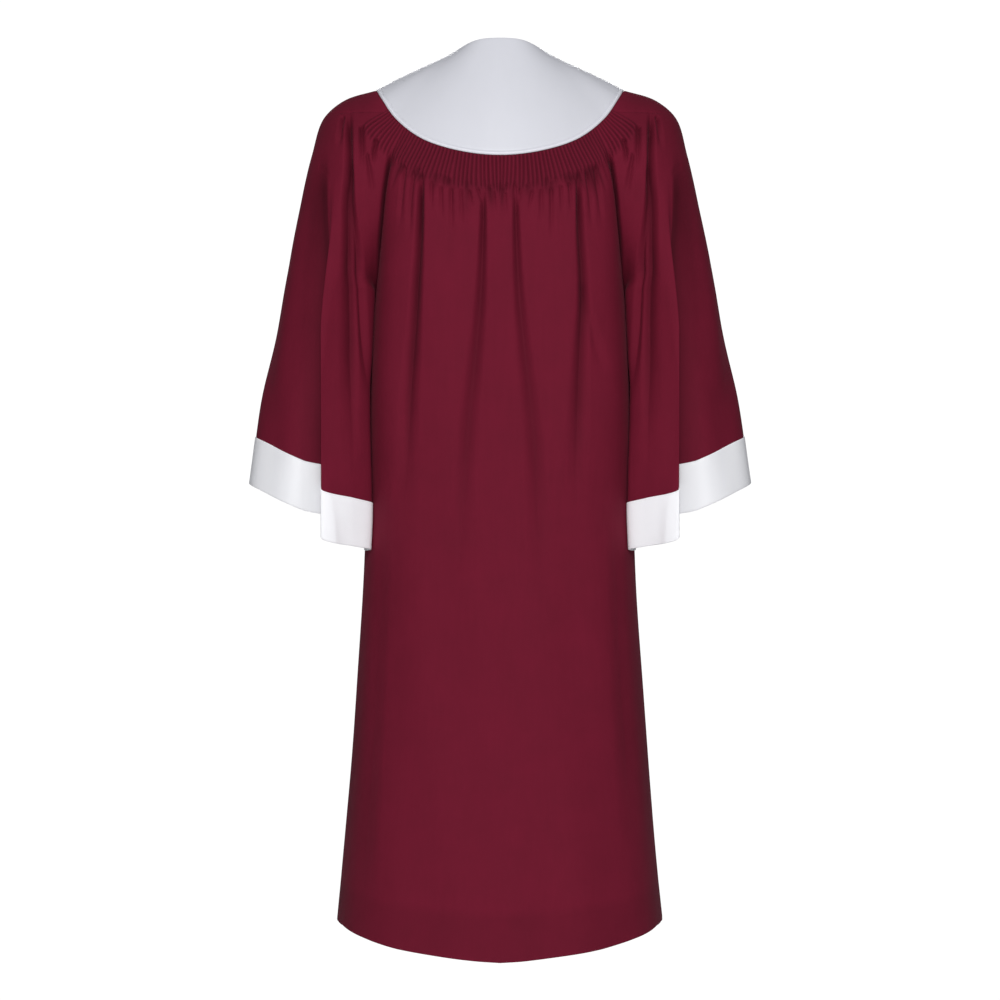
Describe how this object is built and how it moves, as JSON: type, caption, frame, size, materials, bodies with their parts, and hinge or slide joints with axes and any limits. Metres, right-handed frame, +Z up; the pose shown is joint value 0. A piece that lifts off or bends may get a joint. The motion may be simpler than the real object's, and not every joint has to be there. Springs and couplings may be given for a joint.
{
  "type": "choir robe",
  "caption": "Choir robe with a white satin yoke and V neck, fluted burgundy body and open bell sleeves ending in white cuff bands, filled out as worn.",
  "frame": {"origin": "where the wearer's shoulders hold the robe, midway between the two shoulder and neck points", "axes": "+Z up, the wearer's front faces +Y and the back faces -Y, +X to the right as seen from behind"},
  "size_m": [0.704, 0.3952, 1.2345],
  "materials": {
    "body_cloth": "soft matt woven polyester, burgundy",
    "yoke_satin": "white satin with a soft sheen",
    "cuff_satin": "white satin with a soft sheen"
  },
  "bodies": {
    "root": {"back_yoke": "yoke_satin", "front_yoke": "yoke_satin", "back": "body_cloth", "front": "body_cloth", "sleeve_left": "body_cloth", "sleeve_right": "body_cloth", "cuff_left": "cuff_satin", "cuff_right": "cuff_satin"}
  },
  "joints": []
}
